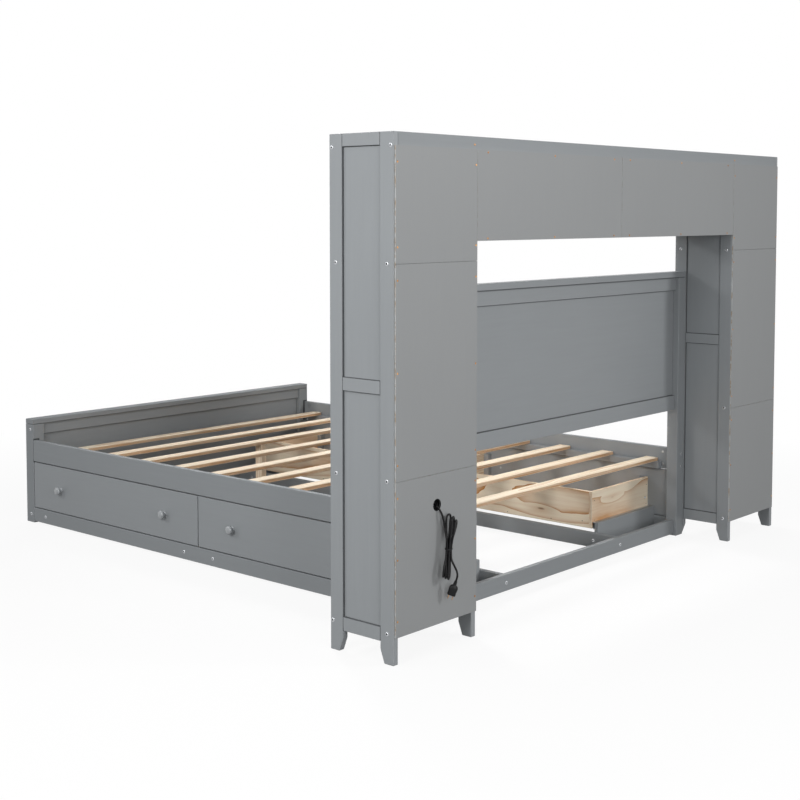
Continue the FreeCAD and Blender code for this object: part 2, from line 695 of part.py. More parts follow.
# Nails: near both ends of each tower panel and halfway up the two tall ones, along the two
# edges of the bridge panels, and one through the top rail above each inner side
nail_spots = []
for sign in ("", "-"):
    for edge in ("tower_out - back_outer_inset - nail_inset", "rail_out + back_joint + nail_inset"):
        for low, high in zip(back_seams, back_seams[1:]):
            heights = ["%s + nail_end_gap" % low, "%s - nail_end_gap" % high]
            if high != back_seams[-1]:
                heights.append("(%s + %s) / 2" % (low, high))
            for spot_z in heights:
                nail_spots.append(("%s(%s)" % (sign, edge), "wall_face", spot_z))
    for spot_x in ("rail_out - bridge_nail_inset", "rail_out / 2", "bridge_nail_inset"):
        for spot_z in ("back_top - nail_inset", "bridge_low + nail_inset"):
            nail_spots.append(("%s(%s)" % (sign, spot_x), "wall_face", spot_z))
    nail_spots.append(("%s(rail_out + side_thick / 2)" % sign, "tower_back",
                       "tower_height - top_nail_drop"))
node("back_nails",
     *[disc("nail_%d" % number, "nail_dia", "nail_tall", spot, "+y")
       for number, spot in enumerate(nail_spots)])

# Outlet: a housing that hangs through the lower shelf, under a plate with its slots
housing_x = ("tower_mid - housing_wide / 2", "tower_mid + housing_wide / 2")
housing_y = ("outlet_mid - housing_deep / 2", "outlet_mid + housing_deep / 2")
gland = doc.addObject("Part::Cone", "lead_gland")
gland.setExpression("Radius1", bound("gland_root_dia / 2"))
gland.setExpression("Radius2", bound("gland_tip_dia / 2"))
gland.setExpression("Height", bound("gland_long"))
gland.Placement.Rotation = FreeCAD.Rotation(FreeCAD.Vector(1, 0, 0), 180)
gland.setExpression("Placement.Base.x", bound("tower_mid"))
gland.setExpression("Placement.Base.y", bound("outlet_mid + gland_shift"))
gland.setExpression("Placement.Base.z", bound("lower_shelf_low - housing_drop"))
housing = doc.addObject("Part::Fuse", "outlet_housing")
housing.Base = board("outlet_case", housing_x, housing_y,
                     ("lower_shelf_low - housing_drop", "lower_shelf_top"))
housing.Tool = gland
node("outlet_housing", housing)

plate_z = ("lower_shelf_top", "lower_shelf_top + plate_thick")
slot_z = ("lower_shelf_top - plate_thick", "lower_shelf_top + 2 * plate_thick")
slots = []
for socket_sign in ("-", "+"):
    for blade_sign in ("-", "+"):
        mid_x = "tower_mid %s socket_spacing / 2 %s blade_spacing / 2" % (socket_sign, blade_sign)
        slots.append(block("outlet_slot_%d" % len(slots),
                           (mid_x + " - blade_thick / 2 - slot_room",
                            mid_x + " + blade_thick / 2 + slot_room"),
                           ("outlet_mid - blade_wide / 2 - slot_room",
                            "outlet_mid + blade_wide / 2 + slot_room"), slot_z))
all_slots = doc.addObject("Part::Compound", "outlet_slots")
all_slots.Links = slots
node("outlet_plate",
     cut("outlet_plate",
         board("outlet_plate_whole", ("tower_mid - plate_wide / 2", "tower_mid + plate_wide / 2"),
               ("outlet_mid - plate_deep / 2", "outlet_mid + plate_deep / 2"), plate_z,
               "plate_ease"), all_slots))
doc.recompute()


# Lead: two free stretches and a hank between them
bend_share = 0.45


def vector(numbers):
    return FreeCAD.Vector(*numbers)


def arc_edge(start, tangent, end):
    """The arc that leaves start along tangent and reaches end."""
    chord = end - start
    along = vector(chord).normalize()
    aside = tangent - along * tangent.dot(along)
    half_turn = math.atan2(aside.Length, tangent.dot(along))
    crest = start + chord * 0.5 + aside.normalize() * (chord.Length / 2 * math.tan(half_turn / 2))
    return Part.Arc(start, crest, end).toShape()


def tube(wire, start, tangent):
    """A round bar of the lead's diameter along a wire."""
    ring = Part.Wire(Part.makeCircle(size("lead_dia") / 2, start, tangent))
    shape = wire.makePipeShell([ring], True, False)
    expected = wire.Length * math.pi * (size("lead_dia") / 2) ** 2
    print("tube length %.1f mm, volume over section times length %.4f"
          % (wire.Length, shape.Volume / expected))
    return shape


def free_stretch(name, route):
    """Straight runs joined by arcs that take a share of the shorter run beside each point."""
    points = [vector(point) for point in route]
    edges = []
    last = points[0]
    radii = []
    for before, corner, after in zip(points, points[1:], points[2:]):
        inward = vector(corner - before).normalize()
        outward = vector(after - corner).normalize()
        reach = bend_share * min((corner - before).Length, (after - corner).Length)
        radii.append(reach / math.tan(inward.getAngle(outward) / 2))
        arc_start = corner - inward * reach
        arc_end = corner + outward * reach
        edges.append(Part.LineSegment(last, arc_start).toShape())
        edges.append(arc_edge(arc_start, inward, arc_end))
        last = arc_end
    edges.append(Part.LineSegment(last, points[-1]).toShape())
    print(name, "radii", [round(radius, 1) for radius in radii])
    feature = doc.addObject("Part::Feature", name)
    feature.Shape = tube(Part.Wire(edges), points[0], points[1] - points[0])
    return feature


hank_middle = vector((950, 1193, 300))
hank_lean_angle = math.radians(7.64387)
hank_up = FreeCAD.Vector(-math.sin(hank_lean_angle), 0, math.cos(hank_lean_angle))
hank_aside = FreeCAD.Vector(math.cos(hank_lean_angle), 0, math.sin(hank_lean_angle))
hank_out = hank_up.cross(hank_aside)


def hank_spot(aside, out, up):
    return hank_middle + hank_aside * aside + hank_out * out + hank_up * up


def hank_path():
    """Runs down the +X side and up the other, joined by half turns.

    The runs step in by half a pitch to the middle one and out again. The middle run climbs
    from the inner layer to the outer one. All are drawn in at the waist, where the last ends.
    """
    run_count = int(size("hank_run_count"))
    middle_run = run_count // 2
    half_long = size("hank_half_long")
    edges = []
    spots = []
    for run in range(run_count):
        side = 1 if run % 2 == 0 else -1
        reach = size("hank_radius") - size("hank_step") / 2 * min(run, 2 * middle_run - run)
        layer_in = 0 if run <= middle_run else size("hank_layer")
        layer_out = 0 if run < middle_run else size("hank_layer")
        down = hank_up * -side
        first = hank_spot(side * reach, layer_in, side * half_long)
        waist = hank_spot(side * (reach - size("hank_draw_in")), layer_out, 0)
        last = hank_spot(side * reach, layer_out, -side * half_long)
        if spots:
            tip = (spots[-1] + first) * 0.5 - down * ((spots[-1] - first).Length / 2)
            edges.append(Part.Arc(spots[-1], tip, first).toShape())
        spots += [first, waist] if run == run_count - 1 else [first, waist, last]
        halves = [(first, waist)] if run == run_count - 1 else [(first, waist), (waist, last)]
        for start, end in halves:
            bend = (start + end) * 0.5
            edges.append(arc_edge(start, down, bend))
            edges.append(arc_edge(end, down * -1, bend))
    return Part.Wire(Part.sortEdges(edges)[0]), spots[0], spots[-1]


hank_wire, hank_start, hank_end = hank_path()
hank = doc.addObject("Part::Feature", "lead_hank")
hank.Shape = tube(hank_wire, hank_start, hank_up * -1)
samples_per_dia = 3
samples = hank_wire.discretize(Distance=size("lead_dia") / samples_per_dia)
apart = 4 * samples_per_dia
least = min(first.distanceToPoint(second) for index, first in enumerate(samples)
            for second in samples[index + apart:])
print("hank least gap to itself %.2f mm" % (least - size("lead_dia")))

# The free stretches' points are chosen by hand, from the gland to the hank and on to the plug
upper_route = [(973, 1126, 468), (973, 1126, 450), (973, 1139, 436.5), (972, 1158, 430),
               (968.5, 1178, 421.5), (960.5, 1190, 408), (954.6, 1193, 393.5)]
upper_route.append(tuple(hank_start))
tail_route = [tuple(hank_end), tuple(hank_end - hank_up * size("hank_leave")), (965, 1211, 271),
              (955, 1217, 256), (943.5, 1217.5, 241), (931, 1216.8, 229),
              (927.2, 1214.2, 215.3), (930, 1211, 203)]
node("lead_upper", free_stretch("lead_upper", upper_route))
node("lead_hank", hank)
node("lead_tail", free_stretch("lead_tail", tail_route))

# Plug: its own Z axis runs from the lead to the blades
plug_turn_angle = math.radians(131.30992)
plug_broad_way = FreeCAD.Vector(math.cos(plug_turn_angle), math.sin(plug_turn_angle), 0)
plug_z = vector(tail_route[-1]) - vector(tail_route[-2])
plug_z.normalize()
plug_place = FreeCAD.Placement(vector(tail_route[-1]),
                               FreeCAD.Rotation(plug_broad_way, vector((0, 0, 0)), plug_z, "ZXY"))
neck = doc.addObject("Part::Cone", "plug_neck")
neck.setExpression("Radius1", bound("gland_tip_dia / 2"))
neck.setExpression("Radius2", bound("plug_neck_dia / 2"))
neck.setExpression("Height", bound("plug_neck_long + plug_round"))
grip_block = block("plug_grip_block", ("-plug_wide / 2", "plug_wide / 2"),
                   ("-plug_thick / 2", "plug_thick / 2"),
                   ("plug_neck_long", "plug_neck_long + plug_long"))
grip = doc.addObject("Part::Fillet", "plug_grip")
grip.Base = grip_block
grip.Edges = [(edge, size("plug_round"), size("plug_round")) for edge in range(1, 13)]
plug = doc.addObject("Part::Fuse", "plug_body")
plug.Base = neck
plug.Tool = grip
plug.Placement = plug_place
node("plug_body", plug)
blades = []
for sign in ("-", "+"):
    mid = "%s blade_spacing / 2" % sign
    blades.append(block("plug_blade_%d" % len(blades),
                        (mid + " - blade_thick / 2", mid + " + blade_thick / 2"),
                        ("-blade_wide / 2", "blade_wide / 2"),
                        ("plug_neck_long + plug_long",
                         "plug_neck_long + plug_long + blade_long")))
pins = node("plug_blades", *blades)
pins.Placement = plug_place

# Check every object, then write the sub-parts
doc.recompute()
for item in doc.Objects:
    if {"Invalid", "Error"} & set(item.State):
        raise RuntimeError("%s is in state %s" % (item.Label, item.State))
for item in nodes:
    if item.Shape.isNull() or not item.Shape.isValid():
        raise RuntimeError(item.Label + " has no valid shape")
if len({item.Label for item in nodes}) != len(nodes):
    raise RuntimeError("two sub-parts share a label")
for item in nodes:
    item.Shape.exportStep(os.path.join("parts", item.Label + ".step"))
print(len(nodes), "sub-parts,", sum(len(item.Shape.Solids) for item in nodes), "solids")
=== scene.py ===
import bmesh
import bpy
import math
import numpy as np
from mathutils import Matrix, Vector


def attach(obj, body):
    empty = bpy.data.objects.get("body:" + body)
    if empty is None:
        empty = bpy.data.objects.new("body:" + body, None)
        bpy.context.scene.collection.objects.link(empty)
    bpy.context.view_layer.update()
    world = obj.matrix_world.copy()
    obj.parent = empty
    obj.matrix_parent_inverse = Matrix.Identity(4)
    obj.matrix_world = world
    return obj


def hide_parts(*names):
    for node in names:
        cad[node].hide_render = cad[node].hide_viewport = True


# Storage bed with a bookcase wall, seen from behind its left tower.
# Metres, +Z up, +Y towards the wall, +X to the tower with the outlet.

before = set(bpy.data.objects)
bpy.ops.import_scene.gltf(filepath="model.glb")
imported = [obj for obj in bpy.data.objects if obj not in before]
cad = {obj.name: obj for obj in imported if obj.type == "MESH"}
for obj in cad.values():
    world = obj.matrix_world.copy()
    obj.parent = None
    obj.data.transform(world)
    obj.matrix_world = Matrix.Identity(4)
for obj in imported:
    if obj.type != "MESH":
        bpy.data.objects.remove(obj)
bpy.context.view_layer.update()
print("frame:", len(cad), "sub-parts")


class Value:
    # one socket of a node, so that a sum of sockets reads as a plain expression
    def __init__(self, nodes, socket):
        self.nodes = nodes
        self.socket = socket

    def sum(self, operation, *values):
        return self.nodes.node("ShaderNodeMath", {"operation": operation},
                               dict(enumerate(values)))

    def __add__(self, other): return self.sum("ADD", self, other)
    def __radd__(self, other): return self.sum("ADD", other, self)
    def __sub__(self, other): return self.sum("SUBTRACT", self, other)
    def __rsub__(self, other): return self.sum("SUBTRACT", other, self)
    def __mul__(self, other): return self.sum("MULTIPLY", self, other)
    def __rmul__(self, other): return self.sum("MULTIPLY", other, self)
    def __truediv__(self, other): return self.sum("DIVIDE", self, other)
    def __rtruediv__(self, other): return self.sum("DIVIDE", other, self)
    def __pow__(self, other): return self.sum("POWER", self, other)
    def __lt__(self, other): return self.sum("LESS_THAN", self, other)
    def __gt__(self, other): return self.sum("GREATER_THAN", self, other)
    def __abs__(self): return self.sum("ABSOLUTE", self)
    def floor(self): return self.sum("FLOOR", self)
    def fraction(self): return self.sum("FRACT", self)
    def root(self): return self.sum("SQRT", self)
    def least(self, other): return self.sum("MINIMUM", self, other)
    def most(self, other): return self.sum("MAXIMUM", self, other)
    def clamped(self): return self.most(0).least(1)


class Nodes:
    # the nodes of one material or world
    def __init__(self, tree):
        self.tree = tree

    def put(self, socket, value):
        if isinstance(value, Value):
            self.tree.links.new(value.socket, socket)
        elif isinstance(value, tuple) and len(value) == 3 and len(socket.default_value) == 4:
            socket.default_value = (*value, 1)
        else:
            socket.default_value = value

    def node(self, kind, settings=None, values=None, output=0):
        made = self.tree.nodes.new(kind)
        for name, setting in (settings or {}).items():
            setattr(made, name, setting)
        for name, value in (values or {}).items():
            self.put(made.inputs[name], value)
        if isinstance(output, tuple):
            return [Value(self, made.outputs[one]) for one in output]
        return Value(self, made.outputs[output])

    def place(self):
        return self.node("ShaderNodeTexCoord", output="Object")

    def split(self, vector):
        return self.node("ShaderNodeSeparateXYZ", values={0: vector}, output=("X", "Y", "Z"))

    def joined(self, x, y, z):
        return self.node("ShaderNodeCombineXYZ", values={0: x, 1: y, 2: z})

    def vectors(self, operation, *values):
        return self.node("ShaderNodeVectorMath", {"operation": operation}, dict(enumerate(values)))

    def noise(self, vector, scale, detail=3.0, rough=0.5, stretch=(1, 1, 1)):
        spread = self.vectors("MULTIPLY", vector, tuple(scale * share for share in stretch))
        return self.node("ShaderNodeTexNoise", {"noise_dimensions": "3D"},
                         {"Vector": spread, "Scale": 1.0, "Detail": detail, "Roughness": rough},
                         "Fac")

    def chance(self, number):
        # three random numbers from 0 to 1, the same wherever the given number is the same
        return self.split(self.node("ShaderNodeTexWhiteNoise", {"noise_dimensions": "1D"},
                                    {"W": number}, "Color"))

    def mix(self, share, first, second, blend="MIX"):
        return self.node("ShaderNodeMix", {"data_type": "RGBA", "blend_type": blend},
                         {0: share, 6: first, 7: second}, 2)

    def shaded(self, colour, tone):
        return self.mix(1.0, colour, self.joined(tone, tone, tone), "MULTIPLY")

    def bump(self, height, distance):
        return self.node("ShaderNodeBump", values={"Height": height, "Distance": distance},
                         output="Normal")


class Finish(Nodes):
    # a material with one Principled shader
    def __init__(self, name, fixed=None):
        self.material = bpy.data.materials.new(name)
        self.material.use_nodes = True
        super().__init__(self.material.node_tree)
        self.shader = self.tree.nodes["Principled BSDF"]
        self.wear(fixed or {})

    def wear(self, sockets):
        for name, value in sockets.items():
            self.put(self.shader.inputs[name], value)
        return self.material


def tint(hexColour):
    # a colour as the screen shows it, such as "9a9da0", in the renderer's linear numbers
    parts = [int(hexColour[start:start + 2], 16) / 255 for start in (0, 2, 4)]
    return tuple(part / 12.92 if part < 0.04045 else ((part + 0.055) / 1.055) ** 2.4
                 for part in parts)


paint = {
    "colour": tint("9a9ea1"),
    "panelColour": tint("97999a"),
    "knobColour": tint("a3a7aa"),
    "rawEdge": tint("b79468"),
    "tone": 0.92,          # of the darkest clouds, against the colour
    "clouds": 0.11,        # how much the clouds, the grain and the spray change the tone
    "grain": 0.07,
    "spray": 0.04,
    "gapWidth": 0.0013,
    "gapReach": 1.35,      # gap widths from a gap's box to where its line of painted shade ends
    "paintedGapShadeTone": 0.3,        # how dark the painted shade in a gap between two boards is, against the paint
}
leadHole = {
    # hole for the lead in the back panel, with painted shade on the panel round it
    "x": 0.973,
    "z": 0.428,
    # radius of the painted shade round the hole
    "paintedShadeRadius": 0.0178,
}

# Gaps between boards with painted shade, as boxes of |x|, y and z: lowest corner, highest corner
towerGaps = [((0.780, 0.977, 0.062), (1.165, 0.977, 1.49)),     # front stiles
             ((0.780, 1.121, 0.062), (1.165, 1.121, 1.49)),
             ((0.780, 0.977, 0.103), (1.165, 1.121, 0.103)),
             ((0.780, 0.977, 0.760), (1.165, 1.121, 0.760)),
             ((0.780, 0.977, 0.799), (1.165, 1.121, 0.799)),
             ((0.780, 0.977, 1.453), (1.165, 1.121, 1.453))]
headGaps = [((0, 0.93, 1.017), (0.788, 0.98, 1.017)),           # under the cap
            ((0, 0.93, 0.966), (0.740, 0.96, 0.966)),
            ((0, 0.93, 0.556), (0.740, 0.96, 0.556)),
            ((0.740, 0.93, 0.498), (0.740, 0.96, 1.017))]
footGaps = [((0, -1.16, 0.405), (0.788, -1.12, 0.405)),
            ((0, -1.16, 0.360), (0.736, -1.13, 0.360)),
            ((0, -1.16, 0.062), (0.736, -1.13, 0.062)),
            ((0.736, -1.16, 0.007), (0.736, -1.13, 0.405))]
railGaps = [((0.760, 0.927, 0.25), (0.79, 0.927, 0.345)),
            ((0.760, -1.123, 0.25), (0.79, -1.123, 0.345)),
            ((0.744, -1.13, 0.254), (0.770, 0.90, 0.254))]


def paintedGapShade(nodes, place, gaps):
    # painted shade in the gaps between boards: how dark a point is by the nearest gap's box, 1 up
    # to gapReach - 1 gap widths from it, and 0 from gapReach gap widths away
    x, y, z = nodes.split(place)
    mirrored = nodes.joined(abs(x), y, z)
    nearest = None
    for low, high in gaps:
        middle = tuple((a + b) / 2 for a, b in zip(low, high))
        half = tuple((b - a) / 2 for a, b in zip(low, high))
        aside = nodes.vectors("SUBTRACT", nodes.vectors(
            "ABSOLUTE", nodes.vectors("SUBTRACT", mirrored, middle)), half)
        awayX, awayY, awayZ = nodes.split(aside)
        away = awayX.most(awayY).most(awayZ)
        nearest = away if nearest is None else nearest.least(away)
    return (paint["gapReach"] - nearest / paint["gapWidth"]).clamped()


def greyPaint(name, grain, gaps=(), colour="colour", roughness=0.47, gloss=0.0, sheen=0.3):
    # sprayed satin paint over boards: soft clouds, a faint grain along the board, fine spray
    # dots, and painted shade in the gaps where two boards meet
    coat = Finish(name, {"Specular IOR Level": sheen})
    place = coat.place()
    clouds = coat.noise(place, 2.3, 4)
    fibres = coat.noise(place, 90, 3, 0.6, grain)
    spray = coat.noise(place, 900, 2)
    tone = (paint["tone"] + clouds * paint["clouds"] + (fibres - 0.5) * paint["grain"]
            + (spray - 0.5) * paint["spray"])
    height = fibres * 0.6 + spray * 0.4
    if gaps:
        # painted shade darkens the paint in the gaps between boards
        gap = paintedGapShade(coat, place, gaps)
        tone = tone * (1 - gap * (1 - paint["paintedGapShadeTone"]))
    return coat.wear({"Base Color": coat.shaded(paint[colour], tone),
                      "Roughness": roughness + (clouds - 0.5) * 0.12 + (spray - 0.5) * 0.08,
                      "Coat Weight": gloss, "Coat Roughness": 0.22,
                      "Normal": coat.bump(height, 0.00013)})


def panelPaint(name):
    # the thin back panels: painted faces, raw board splashed with paint at their edges, the
    # splashes paler as a painted highlight, and painted shade on the wall round the hole for the
    # lead
    coat = Finish(name, {"Specular IOR Level": 0.3})
    place = coat.place()
    x, y, z = coat.split(place)
    clouds = coat.noise(place, 2.0, 4)
    spray = coat.noise(place, 700, 2)
    streaks = coat.noise(place, 60, 3, 0.6, (1, 1, 0.1))
    tone = 0.94 + clouds * 0.09 + (streaks - 0.5) * 0.03 + (spray - 0.5) * 0.04
    face = coat.shaded(paint["panelColour"], tone)
    chips = coat.noise(place, 140, 3, 0.7, (1, 1, 0.5))
    splashed = ((coat.noise(place, 46, 3, 0.7, (1, 1, 0.7)) - 0.43) * 9).clamped()
    raw = coat.mix(chips, paint["rawEdge"], tuple(part * 0.45 for part in paint["rawEdge"]))
    # the splashes are paler than the panel's paint: partly real paint, partly a painted highlight
    # along the edge
    raw = coat.mix(splashed * 0.65 + 0.35, raw, tint("bfc1c1"))
    facing = abs(coat.split(coat.node("ShaderNodeNewGeometry", output="Normal"))[1])
    base = coat.mix(facing < 0.5, face, raw)
    # painted shade: the panel turns near black on the wall round the hole for the lead
    holeX, holeZ = x - leadHole["x"], z - leadHole["z"]
    paintedHoleShade = (holeX * holeX + holeZ * holeZ).root() < leadHole["paintedShadeRadius"]
    base = coat.mix(paintedHoleShade, base, tint("1b1b1b"))
    return coat.wear({"Base Color": base, "Roughness": 0.5 + (clouds - 0.5) * 0.12,
                      "Normal": coat.bump(spray + streaks * 0.5, 0.0001)})


wood = {
    "pale": tint("f8ead3"),
    "late": tint("c0874f"),
    "edge": tint("c9965e"),
    "knot": tint("7d5232"),
    "ringStep": 0.0056,
    "heartSway": 0.07,      # how far the heart line wanders, across the board and through it
    "heartSink": 0.026,
    "knotPush": 0.005,      # how far a knot pushes the rings aside
    "ringWobble": 0.0016,
}
boards = {
    # where the boards' own patterns are centred
    "firstSlat": 0.847,         # y of the slat nearest the head
    "slatPitch": 0.2085,
    "slatHeight": 0.29,
    "footLeg": -0.613,          # y of the middle legs
    "headLeg": 0.430,
    "betweenBays": -0.1,        # y of a line between the drawers of the head and of the foot
    "footBox": -0.6105,         # y of the middle of a drawer box at the foot
    "boxPitch": 1.025,
    "boxHeight": 0.142,
    "boxBackX": 0.3765,         # |x| up to which a box has its back board
    "boxBackHalf": 0.4005,      # half of the back board's length
    "sideStep": 0.3,            # steps along y that tell a box's two sides apart
}


def pine(name, coordinates, lateShare, edgeTone):
    # pale pine: growth rings round a heart line that wanders along the board, each a soft tan
    # that ends in a thin brown line, with fibres and streaks along the board, a few knots that
    # push the rings aside, and a pattern of its own on each board
    timber = Finish(name, {"Specular IOR Level": 0.1})
    place = timber.place()
    length, across, depth, board = coordinates(timber, place)
    first, second, third = timber.chance(board)
    along = timber.joined(length * 1.3 + first * 40, second * 9, third * 9)
    sway = timber.noise(along, 1.5, 1) - 0.5
    sink = timber.noise(timber.joined(length * 1.3 + third * 40, first * 9, 3.3), 1.3, 1) - 0.5
    spots = timber.node("ShaderNodeTexVoronoi", {"feature": "F1", "voronoi_dimensions": "3D"},
                        {"Vector": timber.joined(length * 2.6 + second * 30, across * 10,
                                                 depth * 10 + third * 30), "Scale": 1.0},
                        "Distance")
    halo = ((0.25 - spots) * 4).clamped()
    knot = ((0.055 - spots) * 20).clamped()
    ringAcross = across + sway * wood["heartSway"] + (first - 0.5) * 0.1
    ringDeep = depth + sink * wood["heartSink"] + 0.03 + second * 0.05
    wavy = timber.noise(timber.joined(length * 9, across * 30, depth * 30), 1.0, 2)
    radius = ((ringAcross * ringAcross + ringDeep * ringDeep).root() + halo * wood["knotPush"]
              + wavy * wood["ringWobble"])
    ring = (radius / wood["ringStep"]).fraction()
    strength = timber.noise(timber.joined(length * 1.6 + third * 25, across * 14, depth * 14),
                            1.0, 2)
    late = (ring ** 4 + ring * 0.1) * (strength * 2.2 - 0.25).clamped()
    grain = timber.joined(length * 9 + first * 50, across * 330, depth * 330)
    fibres = timber.noise(grain, 1.0, 3, 0.6)
    streaks = timber.noise(timber.joined(length * 2.5 + second * 50, across * 75, depth * 75),
                           1.0, 3)
    share = (late * lateShare + (fibres - 0.5) * 0.3 + (streaks - 0.5) * 0.45 + 0.04).clamped()
    base = timber.mix(share, wood["pale"], wood["late"])
    base = timber.mix(halo * 0.2, base, wood["edge"])
    base = timber.mix(knot, base, wood["knot"])
    tone = 0.98 + third * 0.07
    if edgeTone:
        # faces of a slat that face neither up nor down are a little browner, in fine lines
        upward = abs(timber.split(timber.node("ShaderNodeNewGeometry", output="Normal"))[2])
        sawn = timber.noise(timber.joined(length * 4, across * 4, depth * 420), 1.0, 2)
        lines = ((sawn - 0.4) * 4).clamped()
        base = timber.mix((upward < 0.5) * (0.28 + lines * edgeTone), base, wood["late"])
    return timber.wear({"Base Color": timber.shaded(base, tone),
                        "Roughness": 0.78 - late * 0.12 + (fibres - 0.5) * 0.15,
                        "Normal": timber.bump(fibres * 0.7 + late * 0.3, 0.0002)})


def slatCoordinates(nodes, place):
    # along a slat, across it and through it, and the slat's number
    x, y, z = nodes.split(place)
    number = ((boards["firstSlat"] - y) / boards["slatPitch"] + 0.5).floor()
    middle = boards["firstSlat"] - number * boards["slatPitch"]
    return x, y - middle, z - boards["slatHeight"], number


def legCoordinates(nodes, place):
    # up a middle leg, across it and through it, and a number for each of the two
    x, y, z = nodes.split(place)
    head = y > 0
    apart = boards["headLeg"] - boards["footLeg"]
    return z, y - boards["footLeg"] - head * apart, x, 51 + head * 7


def boxCoordinates(nodes, place):
    # a drawer's side boards run along X and its back board along Y, and each board has a number
    x, y, z = nodes.split(place)
    head = y > boards["betweenBays"]
    fromMiddle = abs(y - boards["footBox"] - head * boards["boxPitch"])
    isBack = (abs(x) < boards["boxBackX"]) * (fromMiddle < boards["boxBackHalf"])
    length = x + (y - x) * isBack
    depth = y + (abs(x) - y) * isBack
    side = ((y + boards["sideStep"]) / boards["sideStep"]).floor() * (1 - isBack)
    number = side + (x > 0) * 11 + isBack * 23 + head * 5
    return length, z - boards["boxHeight"], depth, number


def zinc(name):
    # bright zinc plate with fine rolling marks and duller patches
    metal = Finish(name, {"Metallic": 1.0})
    place = metal.place()
    marks = metal.noise(place, 500, 3, 0.6, (1, 1, 0.2))
    patches = metal.noise(place, 60, 3)
    base = metal.mix(marks, tint("a2a5a9"), tint("d9dbdd"))
    return metal.wear({"Base Color": base, "Roughness": 0.2 + marks * 0.12 + patches * 0.15,
                       "Normal": metal.bump(marks, 0.00003)})


def copper(name):
    # coppery nail heads, dulled unevenly
    metal = Finish(name, {"Metallic": 0.85})
    marks = metal.noise(metal.place(), 300, 3)
    base = metal.mix(((marks - 0.35) * 3).clamped(), tint("7d5230"), tint("e2af74"))
    return metal.wear({"Base Color": base, "Roughness": 0.35 + marks * 0.25})


def plastic(name, colour, roughness):
    # moulded plastic with a spark-eroded skin
    skin = Finish(name, {"Specular IOR Level": 0.2})
    place = skin.place()
    dots = skin.noise(place, 1500, 2)
    clouds = skin.noise(place, 40, 2)
    return skin.wear({"Base Color": skin.shaded(colour, 0.85 + clouds * 0.3),
                      "Roughness": roughness + (dots - 0.5) * 0.12,
                      "Normal": skin.bump(dots, 0.00003)})


finishes = {
    "towerPaint": greyPaint("towerPaint", (1, 1, 0.05), towerGaps),
    "headPaintUp": greyPaint("headPostPaint", (1, 1, 0.05), headGaps[:1] + railGaps[:1]),
    "headPaint": greyPaint("headboardPaint", (0.05, 1, 1), headGaps),
    # duller, so that the tops of the footboard, rails and boards stay grey at a grazing angle
    "footPaintUp": greyPaint("footPostPaint", (1, 1, 0.05), footGaps[:1] + railGaps[1:2],
                             roughness=0.85, sheen=0.08),
    "footPaint": greyPaint("footboardPaint", (0.05, 1, 1), footGaps, roughness=0.85, sheen=0.08),
    "railPaint": greyPaint("railPaint", (1, 0.05, 1), railGaps, roughness=0.8, sheen=0.2),
    "boardPaint": greyPaint("boardPaint", (0.05, 1, 1), roughness=0.62, sheen=0.2),
    "frontPaint": greyPaint("drawerFrontPaint", (1, 0.05, 1)),
    "knobPaint": greyPaint("knobPaint", (1, 1, 1), colour="knobColour", roughness=0.24,
                           gloss=0.8),
    "panelPaint": panelPaint("backPanelPaint"),
    "slatPine": pine("slatPine", slatCoordinates, 0.55, 0.5),
    "legPine": pine("legPine", legCoordinates, 0.8, 0),
    "boxPine": pine("boxPine", boxCoordinates, 0.95, 0),
    "zinc": zinc("zincPlate"),
    # painted shade for the inside of the bolts' hexagon sockets, which are zinc
    "socketPaintedShade": plastic("paintedSocketShade", tint("26272a"), 0.6),
    "copper": copper("copperNails"),
    "steel": plastic("darkSteelNail", tint("4a4038"), 0.45),
    "black": plastic("blackPlastic", tint("0e0f10"), 0.4),
    "jacket": plastic("leadJacket", tint("0b0b0d"), 0.27),
    "outletFace": plastic("outletPlastic", tint("1d1e21"), 0.35),
}
print("finishes:", len(finishes))


def dress(finish, *names):
    # gives a sub-part's own mesh a finish, through its material slots
    for name in names:
        part = cad[name]
        if not part.material_slots:
            part.data.materials.append(finishes[finish])
        for slot in part.material_slots:
            slot.material = finishes[finish]


towers = ("left", "right")
drawers = ["%s_%s_drawer" % (word, bay) for word in towers for bay in ("head", "foot")]
for word in towers:
    dress("towerPaint", word + "_tower_outer_side", word + "_tower_inner_side")
    dress("boardPaint", word + "_tower_shelves", word + "_tower_top_board")
    dress("panelPaint", word + "_tower_back_panels")
    dress("railPaint", word + "_side_rail", word + "_low_rail")
for drawer in drawers:
    dress("frontPaint", drawer + "_front")
    dress("boxPine", drawer + "_box")
    dress("zinc", drawer + "_runners")
dress("boardPaint", "top_front_rail", "top_back_rail", "bridge_bottom", "bridge_top",
      "bridge_divider", "head_stretcher", "drawer_guides")
dress("legPine", "slat_legs")
dress("panelPaint", "bridge_back_panels")
dress("headPaintUp", "headboard_posts")
dress("headPaint", "headboard_cap", "headboard_rails", "headboard_panel")
dress("footPaintUp", "footboard_posts")
dress("footPaint", "footboard_cap", "footboard_rails", "footboard_panel")
dress("railPaint", "slat_ledges", "floor_rails")
dress("slatPine", "slats")
dress("zinc", "slide_channels")
dress("copper", "back_nails")
dress("black", "outlet_housing")
dress("outletFace", "outlet_plate")


